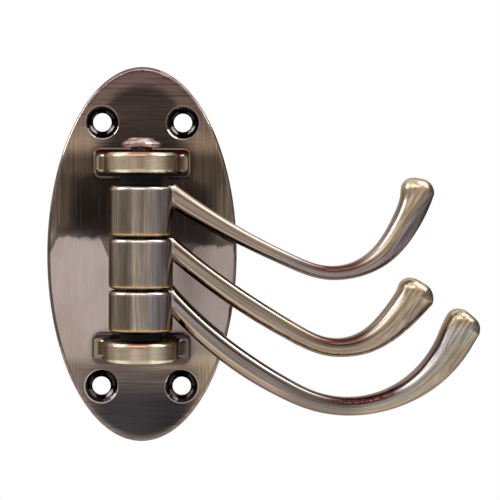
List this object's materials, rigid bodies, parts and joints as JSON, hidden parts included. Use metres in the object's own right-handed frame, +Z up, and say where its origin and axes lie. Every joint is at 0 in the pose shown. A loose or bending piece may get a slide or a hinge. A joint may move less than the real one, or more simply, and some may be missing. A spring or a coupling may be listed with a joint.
{
  "type": "swivel triple hook",
  "caption": "Wall-mounted swivel hook: an oval screw-on plate with two lugs and a vertical pin, on which three curved arms swing from side to side.",
  "frame": {"origin": "centre of the oval plate's flat back face, on the wall", "axes": "+Y into the wall, +Z up along the pivot pin, +X to the right seen from the front"},
  "size_m": [0.1246, 0.0252, 0.108],
  "materials": {
    "plate_metal": "brushed antique brass plating under clear lacquer",
    "hook_metal": "brushed antique brass plating under clear lacquer, worn lighter on the edges",
    "pin_metal": "antique brass plating, bright rivet head",
    "spacer_dark": "black nylon ring"
  },
  "bodies": {
    "wall_plate": {"back_plate": "plate_metal", "pivot_pin": "pin_metal", "lower_spacer": "spacer_dark", "upper_spacer": "spacer_dark"},
    "upper_arm": {"upper_hook": "hook_metal"},
    "middle_arm": {"middle_hook": "hook_metal"},
    "lower_arm": {"lower_hook": "hook_metal"}
  },
  "joints": [
    {"name": "upper_hook_swing", "type": "hinge", "parent": "wall_plate", "child": "upper_arm", "pos_m": [0, -0.015, 0.01275], "axis": [0, 0, -1], "range_deg": [-1.9, 191.9]},
    {"name": "middle_hook_swing", "type": "hinge", "parent": "wall_plate", "child": "middle_arm", "pos_m": [0, -0.015, -0.00195], "axis": [0, 0, -1], "range_deg": [-1.7, 191.7]},
    {"name": "lower_hook_swing", "type": "hinge", "parent": "wall_plate", "child": "lower_arm", "pos_m": [0, -0.015, -0.0154], "axis": [0, 0, -1], "range_deg": [-0.7, 190.7]}
  ]
}
